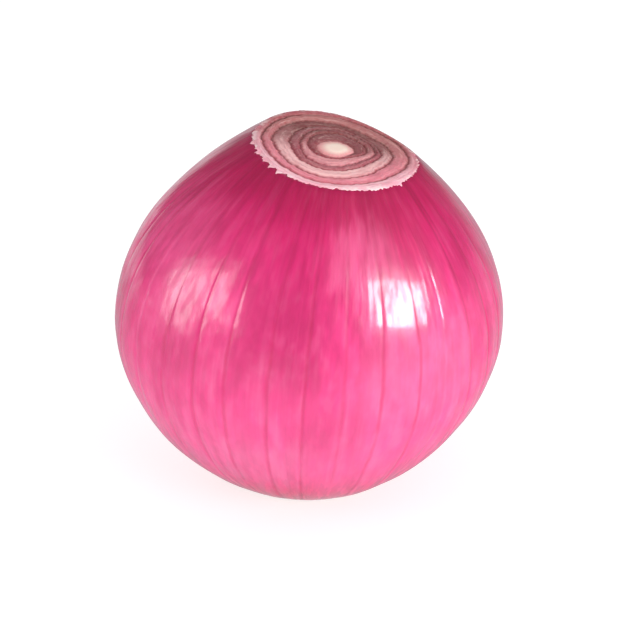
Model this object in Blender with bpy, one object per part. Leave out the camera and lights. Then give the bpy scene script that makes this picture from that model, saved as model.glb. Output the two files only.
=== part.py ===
"""Red onion, peeled to a clean glossy scale, with its neck sliced off: one grown piece.

Metres, +Z up. The origin is the centre of the flat spot of the root plate, which the bulb rests on.
The front is -Y. Each level of the bulb is a wavy round section square to an axis that leans to +X.
"""

import math

import bmesh
import bpy
import numpy as np
from mathutils import Matrix, Vector

MM = 0.001

# Outline of the bulb
GREATEST_RADIUS = 37.5 * MM
ROOT_END_RADIUS = 9.0 * MM
NECK_RADIUS = 16.75 * MM
SHOULDER_REACH = 46.03 * MM
SHOULDER_POWER = 2.295
BASE_REACH = 35.86 * MM
BASE_POWER = 1.697
BASE_ROUNDNESS = 1.865

# Lean of the axis at the cut: square and cubic parts to the side, square part to the front
SIDE_LEAN = 4.41 * MM
SIDE_CURL = 0.63 * MM
FRONT_LEAN = -0.60 * MM

# Departures from round: waves a turn, cosine part, sine part, as shares of the radius
BODY_WAVES = ((2, 0.0, 0.021), (3, -0.019, -0.006))
NECK_WAVES = ((2, -0.067, -0.037), (3, 0.057, -0.004), (4, 0.018, 0.003), (5, -0.004, -0.001))
NECK_WAVE_FADE = 6

# Veins of the outer scale: shallow grooves from the root plate to the cut
VEIN_COUNT = 32
COLUMNS_PER_VEIN = 3
FIRST_VEIN = math.radians(267.0)
VEIN_WANDER = 0.10
VEIN_DEPTH = 0.38 * MM
VEIN_DEPTH_SPREAD = 0.35
VEIN_FADE_HEIGHT = 9.0 * MM

# Levels of the outer scale
FIRST_LEVEL = 1.25 * MM
LAST_LEVEL_BELOW_CUT = 2.6 * MM
BASE_LEVELS = 8
SHOULDER_LEVELS = 8

# Torn rim of the cut: teeth of pale flesh that hang over the skin
TOOTH_START = 0.32 * MM
TOOTH_LENGTH = 0.55 * MM
TOOTH_LENGTH_SPREAD = 0.45
TOOTH_PROUD = 0.10 * MM
TEAR_TURNS = 4
TEAR_WAVE = 0.3
RIM_TOP = 0.10 * MM
RIM_VEIN_SHARE = 0.35
RIM_INSET = 0.35 * MM
RIM_FLAT_INSET = 0.65 * MM

# Cut face: one groove between each two scales, round a heart that lies off the centre.
# Each ring is its mean share of the radius, and its departures from round: waves a turn, cosine, sine
RINGS = ((0.868, ((1, -0.006, 0.030), (2, 0.005, 0.006), (3, -0.006, 0.021))),
         (0.715, ((1, -0.048, 0.022), (2, -0.004, 0.006), (3, 0.000, 0.025))),
         (0.546, ((1, -0.027, 0.039), (2, -0.010, 0.021), (3, 0.007, 0.016))),
         (0.454, ((1, -0.005, 0.048), (2, -0.011, 0.035), (3, 0.008, 0.010))),
         (0.330, ((1, -0.008, 0.092), (2, 0.008, 0.027), (3, 0.001, 0.007))),
         (0.215, ((1, -0.022, 0.021), (2, 0.008, 0.014), (3, -0.005, 0.007))))
RING_GROOVE_HALF_WIDTH = 0.22 * MM
RING_GROOVE_DEPTH = 0.50 * MM
FULL_COLUMN_RINGS = 2
HEART_OFFSET = (0.7 * MM, -0.7 * MM)
FACE_DOME = 0.60 * MM
HEART_SHARE = 0.11
HEART_LIFT = 0.35 * MM

# Root plate: a boss with a flat foot, in a shallow recess inside the tucked edge of the skin
FLAT_RADIUS = 6.2 * MM
PLATE_RADIUS = 6.8 * MM
PLATE_EDGE_HEIGHT = 0.30 * MM
RECESS_HEIGHT = 1.35 * MM
RECESS_RADIUS = 9.3 * MM
LIP_RADIUS = 11.2 * MM
LIP_HEIGHT = 0.80 * MM

# Trimmed roots round the plate
ROOT_COUNT = 24
ROOT_SIDES = 6
ROOT_RADIUS = 0.42 * MM
ROOT_TIP_RADIUS = 0.30 * MM
ROOT_START_RADIUS = 6.0 * MM
ROOT_START_HEIGHT = 1.00 * MM
ROOT_END_HEIGHT = 0.72 * MM
ROOT_LENGTH = 4.0 * MM
ROOT_LENGTH_SPREAD = 0.20
ROOT_WANDER = 0.20

SEED = 684
SHARP_ANGLE = math.radians(35.0)
SKIN_COLOUR = (0.72, 0.07, 0.22, 1.0)
SKIN_ROUGHNESS = 0.28

WIDEST_HEIGHT = BASE_REACH * (1.0 - (ROOT_END_RADIUS / GREATEST_RADIUS) ** BASE_ROUNDNESS) ** (1.0 / BASE_POWER)
CUT_HEIGHT = WIDEST_HEIGHT + SHOULDER_REACH * (1.0 - NECK_RADIUS / GREATEST_RADIUS) ** (1.0 / SHOULDER_POWER)


def clear_scene():
    """Removes every object that the scene starts with."""
    for item in list(bpy.data.objects):
        bpy.data.objects.remove(item, do_unlink=True)


def outline_radius(height):
    """Radius of the turned outline: a parabola-like shoulder over a superellipse base."""
    above = np.clip((height - WIDEST_HEIGHT) / SHOULDER_REACH, 0.0, 1.0)
    below = np.clip((WIDEST_HEIGHT - height) / BASE_REACH, 0.0, 1.0)
    shoulder = 1.0 - above ** SHOULDER_POWER
    base = (1.0 - below ** BASE_POWER) ** (1.0 / BASE_ROUNDNESS)
    return GREATEST_RADIUS * np.where(height > WIDEST_HEIGHT, shoulder, base)


def axis_frame(height):
    """Centre of the section at a height, the section's two directions, and the axis there."""
    share = height / CUT_HEIGHT
    centre = np.stack([SIDE_LEAN * share ** 2 + SIDE_CURL * share ** 3, FRONT_LEAN * share ** 2, height], -1)
    side_slope = (2.0 * SIDE_LEAN * share + 3.0 * SIDE_CURL * share ** 2) / CUT_HEIGHT
    front_slope = 2.0 * FRONT_LEAN * share / CUT_HEIGHT
    axis = np.stack([side_slope, front_slope, np.ones_like(share)], -1)
    axis /= np.linalg.norm(axis, axis=-1, keepdims=True)
    across = np.array([1.0, 0.0, 0.0]) - axis * axis[..., :1]
    across /= np.linalg.norm(across, axis=-1, keepdims=True)
    return centre, across, np.cross(axis, across), axis


def wave_sum(waves, angle):
    """Sum of a few waves round the bulb."""
    total = np.zeros_like(angle)
    for turns, cosine, sine in waves:
        total = total + cosine * np.cos(turns * angle) + sine * np.sin(turns * angle)
    return total


def section_radius(height, angle):
    """Outline radius with the waves of the body, and with those of the neck towards the cut."""
    neck_fade = (height / CUT_HEIGHT) ** NECK_WAVE_FADE
    return outline_radius(height) * (1.0 + wave_sum(BODY_WAVES, angle) + neck_fade * wave_sum(NECK_WAVES, angle))


def section_point(height, angle, radius, lift=0.0):
    """Point of a section: its centre, plus the radius along the angle, plus a lift along the axis."""
    centre, across, along, axis = axis_frame(height)
    direction = np.cos(angle)[..., None] * across + np.sin(angle)[..., None] * along
    return centre + np.asarray(radius)[..., None] * direction + np.asarray(lift)[..., None] * axis


def vein_columns(draw):
    """Angles of the lattice columns, and the groove depth at each: one groove and two crests a vein."""
    pitch = 2.0 * math.pi / VEIN_COUNT
    veins = FIRST_VEIN + pitch * (np.arange(VEIN_COUNT) + draw.uniform(-VEIN_WANDER, VEIN_WANDER, VEIN_COUNT))
    gaps = np.append(veins[1:], veins[0] + 2.0 * math.pi) - veins
    steps = np.arange(COLUMNS_PER_VEIN) / COLUMNS_PER_VEIN
    angles = (veins[:, None] + gaps[:, None] * steps).ravel()
    grooves = np.zeros((VEIN_COUNT, COLUMNS_PER_VEIN))
    grooves[:, 0] = VEIN_DEPTH * (1.0 + draw.uniform(-VEIN_DEPTH_SPREAD, VEIN_DEPTH_SPREAD, VEIN_COUNT))
    return angles, grooves.ravel()


def root_rows(angles):
    """Foot, edge and side of the root plate, the recess, and the tucked edge of the skin."""
    steps = ((FLAT_RADIUS, 0.0), (PLATE_RADIUS, PLATE_EDGE_HEIGHT), (PLATE_RADIUS, RECESS_HEIGHT),
             (RECESS_RADIUS, RECESS_HEIGHT), (LIP_RADIUS, LIP_HEIGHT))
    rows = []
    for radius, height in steps:
        rows.append(np.stack([radius * np.cos(angles), radius * np.sin(angles), np.full_like(angles, height)], -1))
    return rows


def skin_rows(angles, grooves):
    """Levels of the outer scale, with the veins sunk in."""
    base = np.sin(np.linspace(-0.5 * math.pi, 0.0, BASE_LEVELS + 1))
    base_levels = WIDEST_HEIGHT + (WIDEST_HEIGHT - FIRST_LEVEL) * base
    top_level = CUT_HEIGHT - LAST_LEVEL_BELOW_CUT
    shoulder_levels = np.linspace(WIDEST_HEIGHT, top_level, SHOULDER_LEVELS + 1)[1:]
    rows = []
    for level in np.append(base_levels, shoulder_levels):
        height = np.full_like(angles, level)
        fade = min(1.0, level / VEIN_FADE_HEIGHT)
        rows.append(section_point(height, angles, section_radius(height, angles) - fade * grooves))
    return rows


def rim_rows(angles, grooves, draw):
    """The toothed line where the skin ends, and the rounded top of the rim, where the veins run out."""
    grooves = grooves * RIM_VEIN_SHARE
    lengths = TOOTH_LENGTH * (1.0 + draw.uniform(-TOOTH_LENGTH_SPREAD, TOOTH_LENGTH_SPREAD, len(angles)))
    is_tooth = np.arange(len(angles)) % 2
    start = TOOTH_START * (1.0 - TEAR_WAVE * np.cos(TEAR_TURNS * angles))
    torn_line = CUT_HEIGHT - start - lengths * is_tooth
    torn_radius = section_radius(torn_line, angles) - grooves + TOOTH_PROUD * is_tooth
    top = np.full_like(angles, CUT_HEIGHT)
    radius = section_radius(top, angles)
    return [section_point(torn_line, angles, torn_radius),
            section_point(top, angles, radius - grooves - RIM_INSET, np.full_like(angles, -RIM_TOP)),
            section_point(top, angles, radius - RIM_FLAT_INSET)]


def face_row(angles, share, lift):
    """Line round the cut face at a share of its radius, drawn towards the off-centre heart."""
    top = np.full_like(angles, CUT_HEIGHT)
    centre, across, along, axis = axis_frame(top)
    dome = FACE_DOME * (1.0 - share ** 2)
    point = section_point(top, angles, section_radius(top, angles) * share, dome + lift)
    shift = HEART_OFFSET[0] * across + HEART_OFFSET[1] * along
    return point + (1.0 - share)[..., None] * shift


def ring_rows(angles, ring):
    """Outer edge, bottom and inner edge of the groove between two scales."""
    mean, waves = ring
    middle = mean + wave_sum(waves, angles)
    half = RING_GROOVE_HALF_WIDTH / NECK_RADIUS
    return [face_row(angles, middle + half, 0.0),
            face_row(angles, middle, -RING_GROOVE_DEPTH),
            face_row(angles, middle - half, 0.0)]


def add_row(mesh, row):
    """Adds a row of points to the mesh."""
    return [mesh.verts.new(point) for point in row]


def stitch(mesh, lower, upper):
    """Joins two rows by triangles; the upper row has as many points as the lower, or half as many."""
    count = len(lower)
    step = count // len(upper)
    for index in range(0, count, step):
        corner = upper[index // step]
        next_corner = upper[(index // step + 1) % len(upper)]
        for inner in range(index, index + step):
            mesh.faces.new((lower[inner], lower[(inner + 1) % count], corner))
        mesh.faces.new((lower[(index + step) % count], next_corner, corner))


def close_end(mesh, row, centre, faces_up):
    """Closes a row with a fan round a centre point."""
    hub = mesh.verts.new(centre)
    for index, corner in enumerate(row):
        following = row[(index + 1) % len(row)]
        mesh.faces.new((corner, following, hub) if faces_up else (following, corner, hub))


def make_bulb_mesh():
    """The bulb without its roots, from the foot of the root plate to the heart of the cut."""
    draw = np.random.default_rng(SEED)
    angles, grooves = vein_columns(draw)
    rows = root_rows(angles) + skin_rows(angles, grooves) + rim_rows(angles, grooves, draw)
    for index, ring in enumerate(RINGS):
        rows += ring_rows(angles if index < FULL_COLUMN_RINGS else angles[::2], ring)
    rows.append(face_row(angles[::2], np.full(len(angles) // 2, HEART_SHARE), HEART_LIFT))
    mesh = bmesh.new()
    lattice = [add_row(mesh, row) for row in rows]
    for lower, upper in zip(lattice, lattice[1:]):
        stitch(mesh, lower, upper)
    close_end(mesh, lattice[0], (0.0, 0.0, 0.0), False)
    heart = face_row(angles[:1], np.zeros(1), HEART_LIFT)[0]
    close_end(mesh, lattice[-1], heart, True)
    data = bpy.data.meshes.new("bulb")
    mesh.to_mesh(data)
    mesh.free()
    return data


def make_root_meshes():
    """One short tapered stub for each trimmed root, lying outwards under the tucked edge of the skin."""
    draw = np.random.default_rng(SEED + 1)
    stubs = []
    for index in range(ROOT_COUNT):
        angle = 2.0 * math.pi * (index + draw.uniform(-ROOT_WANDER, ROOT_WANDER)) / ROOT_COUNT
        length = ROOT_LENGTH * (1.0 + draw.uniform(-ROOT_LENGTH_SPREAD, ROOT_LENGTH_SPREAD))
        outward = Vector((math.cos(angle), math.sin(angle), 0.0))
        start = outward * ROOT_START_RADIUS + Vector((0.0, 0.0, ROOT_START_HEIGHT))
        end = outward * (ROOT_START_RADIUS + length) + Vector((0.0, 0.0, ROOT_END_HEIGHT))
        turn = (end - start).to_track_quat("Z", "Y").to_matrix().to_4x4()
        place = Matrix.Translation((start + end) / 2.0) @ turn
        mesh = bmesh.new()
        bmesh.ops.create_cone(mesh, cap_ends=True, segments=ROOT_SIDES, radius1=ROOT_RADIUS,
                              radius2=ROOT_TIP_RADIUS, depth=(end - start).length, matrix=place)
        data = bpy.data.meshes.new("root_stub")
        mesh.to_mesh(data)
        mesh.free()
        stubs.append(data)
    return stubs


def skin_material():
    """Wet-looking magenta skin of a peeled red onion."""
    material = bpy.data.materials.new("onion_skin")
    material.use_nodes = True
    shader = material.node_tree.nodes["Principled BSDF"]
    shader.inputs["Base Color"].default_value = SKIN_COLOUR
    shader.inputs["Roughness"].default_value = SKIN_ROUGHNESS
    shader.inputs["Metallic"].default_value = 0.0
    return material


def fuse(target, meshes):
    """Joins the meshes to the target by one union on a collection, and removes what was joined."""
    group = bpy.data.collections.new("roots")
    bpy.context.scene.collection.children.link(group)
    for data in meshes:
        group.objects.link(bpy.data.objects.new(data.name, data))
    union = target.modifiers.new("roots", "BOOLEAN")
    union.operation = "UNION"
    union.solver = "EXACT"
    union.operand_type = "COLLECTION"
    union.collection = group
    graph = bpy.context.evaluated_depsgraph_get()
    joined = bpy.data.meshes.new_from_object(target.evaluated_get(graph))
    target.modifiers.clear()
    target.data = joined
    for item in list(group.objects):
        bpy.data.objects.remove(item, do_unlink=True)
    bpy.data.collections.remove(group)


def make_bulb():
    """The whole onion as one object."""
    bulb = bpy.data.objects.new("bulb", make_bulb_mesh())
    bpy.context.scene.collection.objects.link(bulb)
    fuse(bulb, make_root_meshes())
    bulb.data.name = "bulb"
    bulb.data.materials.clear()
    bulb.data.materials.append(skin_material())
    bulb.data.shade_smooth()
    bulb.data.set_sharp_from_angle(angle=SHARP_ANGLE)
    return bulb


clear_scene()
make_bulb()
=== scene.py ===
"""A peeled red onion with its neck sliced off, standing on its root plate on a pale floor.

Metres, +Z up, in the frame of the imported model. The front is -Y.
"""

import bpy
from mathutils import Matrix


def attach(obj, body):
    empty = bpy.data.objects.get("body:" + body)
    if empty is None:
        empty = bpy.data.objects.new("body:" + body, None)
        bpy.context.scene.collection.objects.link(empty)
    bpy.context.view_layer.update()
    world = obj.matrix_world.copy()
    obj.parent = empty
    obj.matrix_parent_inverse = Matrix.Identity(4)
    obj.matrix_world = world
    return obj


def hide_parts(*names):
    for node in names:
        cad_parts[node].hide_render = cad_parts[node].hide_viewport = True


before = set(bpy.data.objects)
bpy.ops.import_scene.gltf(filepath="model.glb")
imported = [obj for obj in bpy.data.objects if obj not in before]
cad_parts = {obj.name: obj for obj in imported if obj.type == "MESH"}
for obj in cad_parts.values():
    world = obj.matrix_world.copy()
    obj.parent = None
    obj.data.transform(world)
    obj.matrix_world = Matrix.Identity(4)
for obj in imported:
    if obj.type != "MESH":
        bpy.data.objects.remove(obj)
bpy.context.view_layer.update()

import math

import bpy
import numpy as np
from mathutils import Matrix


# Camera
# The onion is seen from the front and a little above, from half a metre away, through a long lens.
# The camera is aimed near the middle of the onion's height, a millimetre to the side.
MM = 0.001
VIEW_ELEVATION = math.radians(26.0)
VIEW_DISTANCE = 520.0 * MM
VIEW_TARGET_HEIGHT = 34.97 * MM
VIEW_SIDESTEP = 1.13 * MM
VIEW_STEP_UP = 0.70 * MM
LENS = 154.3
SENSOR = 36.0

camera = bpy.data.objects.new("camera", bpy.data.cameras.new("camera"))
camera.data.lens = LENS
camera.data.sensor_width = SENSOR
camera.data.clip_start = 10.0 * MM
camera.rotation_euler = (0.5 * math.pi - VIEW_ELEVATION, 0.0, 0.0)
rise = math.sin(VIEW_ELEVATION)
reach = math.cos(VIEW_ELEVATION)
camera.location = (VIEW_SIDESTEP, -VIEW_DISTANCE * reach + VIEW_STEP_UP * rise,
                   VIEW_TARGET_HEIGHT + VIEW_DISTANCE * rise + VIEW_STEP_UP * reach)
bpy.context.scene.collection.objects.link(camera)
bpy.context.scene.camera = camera


# Outer scale
# The outermost fleshy scale of the peeled bulb: a thick juicy leaf base under a thin magenta skin.
# It grows from the root plate, is held by it and by the scales inside, and ends torn at the cut neck.
GREATEST_RADIUS = 37.5 * MM
ROOT_END_RADIUS = 9.0 * MM
NECK_RADIUS = 16.75 * MM
SHOULDER_REACH = 46.03 * MM
SHOULDER_POWER = 2.295
BASE_REACH = 35.86 * MM
BASE_POWER = 1.697
BASE_ROUNDNESS = 1.865
SIDE_LEAN = 4.41 * MM
SIDE_CURL = 0.63 * MM
FRONT_LEAN = -0.60 * MM
BODY_WAVES = ((2, 0.0, 0.021), (3, -0.019, -0.006))
NECK_WAVES = ((2, -0.067, -0.037), (3, 0.057, -0.004), (4, 0.018, 0.003), (5, -0.004, -0.001))
NECK_WAVE_FADE = 6
BASE_SHARE = 1.0 - (ROOT_END_RADIUS / GREATEST_RADIUS) ** BASE_ROUNDNESS
WIDEST_HEIGHT = BASE_REACH * BASE_SHARE ** (1.0 / BASE_POWER)
SHOULDER_SHARE = 1.0 - NECK_RADIUS / GREATEST_RADIUS
CUT_HEIGHT = WIDEST_HEIGHT + SHOULDER_REACH * SHOULDER_SHARE ** (1.0 / SHOULDER_POWER)

# The skin's veins, swells and fine striations
SEED = 684
VEIN_COUNT = 32
FIRST_VEIN = math.radians(267.0)
VEIN_WANDER = 0.10
SHALLOW_VEIN = 1
SHALLOW_SHARE = 0.4
VEIN_DEPTH = 0.095 * MM
VEIN_DEPTH_SPREAD = 0.35
VEIN_FADE_HEIGHT = 9.0 * MM
NECK_SMOOTHING = 0.75
NECK_SMOOTHING_SPAN = (0.60, 0.95)
GROOVE_WIDTH = 0.050
MINOR_VEINS = (0.27, 0.5, 0.74)
MINOR_WIDTH = 0.045
MINOR_DEPTH = 0.020 * MM
MINOR_STRENGTH_SPAN = (0.2, 1.0)
PILLOW_DEPTH = 0.055 * MM
SWELLS = 14
SWELL_SIZE = 0.034 * MM
SWELL_TURN_SPAN = (3, 17)
SWELL_RISE = 5.0
STRIATION_TURNS = (96, 131, 173)
STRIATION_DEPTH = 0.004 * MM
STRIATION_LEAST = 0.25
STRIATION_SPAN = (0.55, 0.95)

# The skin's grid and its lower edge, tucked under
SKIN_COLUMNS = 640
COLUMN_CROWDING = 0.55
SKIN_LEVELS = 140
OUTLINE_STEPS = 4000
LIP_LEVELS = 8
SKIN_FIRST_LEVEL = 1.25 * MM
LIP_BEND = (11.2 * MM, 0.50 * MM)
LIP_INNER = (9.2 * MM, 1.50 * MM)
LIP_CRIMP = 0.12 * MM
LIP_CRIMP_TURNS = (41, 67)

# The rounded upper edge, and the tear along it
SKIN_TOP_UNDER_CUT = 0.45 * MM
RIM_SMOOTHING = (0.4 * MM, 2.4 * MM)
EDGE_ROUNDING = 0.22 * MM
EDGE_START = 0.36 * MM
EDGE_LEVELS = 8
EDGE_UNDERLAP = 0.35 * MM
EDGE_WALL = 1.3 * MM
TEAR_MEAN = -0.32 * MM
TEAR_WAVES = ((1, -0.06, 0.07), (2, 0.09, -0.25), (3, -0.08, 0.07), (5, 0.03, 0.17))
TOOTH_TURNS = 38
TOOTH_LENGTH = 0.52 * MM
TOOTH_LEAST = 0.15
TOOTH_RANGE = 1.25
TOOTH_SKEW = 1.6
TOOTH_LEAN = 0.30
TOOTH_BOW = 1.4
LONG_TEETH_SIDE = math.radians(232.0)
LONG_TEETH_WIDTH = 0.30
LONG_TEETH_GAIN = 0.6
NOTCHES = 9
NOTCH_DEPTH = 0.42 * MM
NOTCH_WIDTH = math.radians(1.7)
FRAY_TURNS = (87, 131)
FRAY_DEPTH = 0.075 * MM

# Where the sheets close, hidden inside the onion: over the floor, and under the cut
HIDDEN_FLOOR = 2.4 * MM
HIDDEN_TOP = 1.6 * MM


def outline_radius(height):
    """Radius at a height: a parabola-like shoulder above the widest level, a superellipse below it."""
    above = np.clip((height - WIDEST_HEIGHT) / SHOULDER_REACH, 0.0, 1.0)
    below = np.clip((WIDEST_HEIGHT - height) / BASE_REACH, 0.0, 1.0)
    shoulder = 1.0 - above ** SHOULDER_POWER
    base = (1.0 - below ** BASE_POWER) ** (1.0 / BASE_ROUNDNESS)
    return GREATEST_RADIUS * np.where(height > WIDEST_HEIGHT, shoulder, base)


def axis_frame(height):
    """Centre, two directions and axis of the section at a height. The axis leans by a cubic of it."""
    share = height / CUT_HEIGHT
    centre = np.stack([SIDE_LEAN * share ** 2 + SIDE_CURL * share ** 3, FRONT_LEAN * share ** 2, height], -1)
    side_slope = (2.0 * SIDE_LEAN * share + 3.0 * SIDE_CURL * share ** 2) / CUT_HEIGHT
    front_slope = 2.0 * FRONT_LEAN * share / CUT_HEIGHT
    axis = np.stack([side_slope, front_slope, np.ones_like(share)], -1)
    axis /= np.linalg.norm(axis, axis=-1, keepdims=True)
    across = np.array([1.0, 0.0, 0.0]) - axis * axis[..., :1]
    across /= np.linalg.norm(across, axis=-1, keepdims=True)
    return centre, across, np.cross(axis, across), axis


def wave_sum(waves, angle):
    """Sum of cosine and sine waves round the bulb, each with its number of turns."""
    total = np.zeros_like(angle)
    for turns, cosine, sine in waves:
        total = total + cosine * np.cos(turns * angle) + sine * np.sin(turns * angle)
    return total


def section_radius(height, angle):
    """Outline radius times one plus the body's waves and, towards the cut, the neck's waves."""
    neck_fade = (height / CUT_HEIGHT) ** NECK_WAVE_FADE
    waves = 1.0 + wave_sum(BODY_WAVES, angle) + neck_fade * wave_sum(NECK_WAVES, angle)
    return outline_radius(height) * waves


def section_point(height, angle, radius, lift=0.0):
    """Section centre plus the radius along the angle, plus a lift along the axis."""
    centre, across, along, axis = axis_frame(height)
    direction = np.cos(angle)[..., None] * across + np.sin(angle)[..., None] * along
    return centre + np.asarray(radius)[..., None] * direction + np.asarray(lift)[..., None] * axis


def smooth(low, high, value):
    """Zero below low, one above high, and a cubic ease between."""
    share = np.clip((value - low) / (high - low), 0.0, 1.0)
    return share * share * (3.0 - 2.0 * share)


def hump(distance, width):
    """Bell curve of a distance: one at zero, falling away over the width."""
    return np.exp(-(distance / width) ** 2)


draw = np.random.default_rng(SEED)
VEIN_ANGLES = FIRST_VEIN + 2.0 * math.pi / VEIN_COUNT * (
    np.arange(VEIN_COUNT) + draw.uniform(-VEIN_WANDER, VEIN_WANDER, VEIN_COUNT))
VEIN_STRENGTHS = 1.0 + draw.uniform(-VEIN_DEPTH_SPREAD, VEIN_DEPTH_SPREAD, VEIN_COUNT)
VEIN_STRENGTHS[SHALLOW_VEIN] *= SHALLOW_SHARE
MINOR_STRENGTHS = draw.uniform(*MINOR_STRENGTH_SPAN, (len(MINOR_VEINS), VEIN_COUNT))
SWELL_TURNS = draw.integers(*SWELL_TURN_SPAN, SWELLS)
SWELL_RISES = draw.uniform(-SWELL_RISE, SWELL_RISE, SWELLS)
SWELL_PHASES = draw.uniform(0.0, 2.0 * math.pi, SWELLS)
STRIATION_PHASES = draw.uniform(0.0, 2.0 * math.pi, len(STRIATION_TURNS))
TOOTH_SIZES = TOOTH_LEAST + TOOTH_RANGE * draw.uniform(0.0, 1.0, TOOTH_TURNS) ** TOOTH_SKEW
TOOTH_PEAKS = 0.5 + draw.uniform(-TOOTH_LEAN, TOOTH_LEAN, TOOTH_TURNS)
NOTCH_ANGLES = draw.uniform(0.0, 2.0 * math.pi, NOTCHES)


def vein_angle(phase):
    """Angle at a vein phase: whole phases are the veins, and the angle runs straight between them."""
    knots = np.append(VEIN_ANGLES, VEIN_ANGLES[0] + 2.0 * math.pi)
    return np.interp(phase, np.arange(VEIN_COUNT + 1), knots)


def skin_relief(phase, angle, height):
    """Depth below the plain outline.

    A bell-shaped groove at each vein with a soft pillow between two of them, three fainter minor
    veins, long low swells from a sum of seeded waves, and fine striations that grow to the neck.
    """
    index = np.round(phase).astype(int) % VEIN_COUNT
    cell = np.floor(phase).astype(int) % VEIN_COUNT
    offset = phase - np.round(phase)
    inside = phase - np.floor(phase)
    strength = VEIN_STRENGTHS[index]
    low_fade = smooth(0.0, VEIN_FADE_HEIGHT, height)
    share = height / CUT_HEIGHT
    neck_fade = 1.0 - NECK_SMOOTHING * smooth(*NECK_SMOOTHING_SPAN, share)
    groove = VEIN_DEPTH * hump(offset, GROOVE_WIDTH)
    pillow = PILLOW_DEPTH * np.cos(math.pi * offset) ** 4
    depth = low_fade * neck_fade * strength * (groove + pillow)
    for place, strengths in zip(MINOR_VEINS, MINOR_STRENGTHS):
        depth += low_fade * MINOR_DEPTH * strengths[cell] * hump(inside - place, MINOR_WIDTH)
    for turns, rises, start in zip(SWELL_TURNS, SWELL_RISES, SWELL_PHASES):
        depth += SWELL_SIZE * low_fade * np.cos(turns * angle + rises * share * math.pi + start)
    neck = STRIATION_LEAST + (1.0 - STRIATION_LEAST) * smooth(*STRIATION_SPAN, share)
    for turns, start in zip(STRIATION_TURNS, STRIATION_PHASES):
        depth += STRIATION_DEPTH * neck * low_fade * np.cos(turns * angle + start)
    return depth * smooth(*RIM_SMOOTHING, CUT_HEIGHT - height)


def torn_line(angle):
    """Where the skin ends on the rounded edge: distance down the skin, or in over the cut if below nought.

    A few slow waves, a leaning tooth of its own size for each tooth's turn, longest on one side,
    a few narrow notches, and a fine fray.
    """
    turn = (angle % (2.0 * math.pi)) / (2.0 * math.pi) * TOOTH_TURNS
    number = np.floor(turn).astype(int) % TOOTH_TURNS
    inside = turn - np.floor(turn)
    peak = TOOTH_PEAKS[number]
    tooth = np.minimum(inside / peak, (1.0 - inside) / (1.0 - peak)) ** TOOTH_BOW
    longer = 1.0 + LONG_TEETH_GAIN * hump(np.sin(0.5 * (angle - LONG_TEETH_SIDE)), LONG_TEETH_WIDTH)
    line = TEAR_MEAN + MM * wave_sum(TEAR_WAVES, angle) + TOOTH_LENGTH * longer * TOOTH_SIZES[number] * tooth
    for place in NOTCH_ANGLES:
        line = line - NOTCH_DEPTH * hump(2.0 * np.sin(0.5 * (angle - place)), NOTCH_WIDTH)
    return line + FRAY_DEPTH * sum(np.cos(turns * angle + turns) for turns in FRAY_TURNS)


def edge_spans(along):
    """How far a point of the rounded edge is below the cut and inward: the two arms of a hyperbola."""
    root = np.sqrt(along ** 2 + EDGE_ROUNDING ** 2)
    return 0.5 * (root + along), 0.5 * (root - along)


def edge_point(along, angle, proud=0.0, lift=0.0):
    """Point of the rounded edge, proud of it by a distance, plus a lift along the axis."""
    down, inward = edge_spans(along)
    level = CUT_HEIGHT - down
    return section_point(level, angle, section_radius(level, angle) - inward + proud, proud + lift)


def crowded_phase(count):
    """Even phases less a sine of each, so the columns crowd at the veins; one more closes the turn."""
    even = np.arange(count + 1) * VEIN_COUNT / count
    return even - COLUMN_CROWDING * np.sin(2.0 * math.pi * even) / (2.0 * math.pi)


def even_heights(low, high, count):
    """Heights at equal steps along the outline between two heights."""
    dense = np.linspace(low, high, OUTLINE_STEPS)
    radius = outline_radius(dense)
    steps = np.hypot(np.diff(dense), np.diff(radius))
    length = np.append(0.0, np.cumsum(steps))
    return np.interp(np.linspace(0.0, length[-1], count), length, dense)


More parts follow.
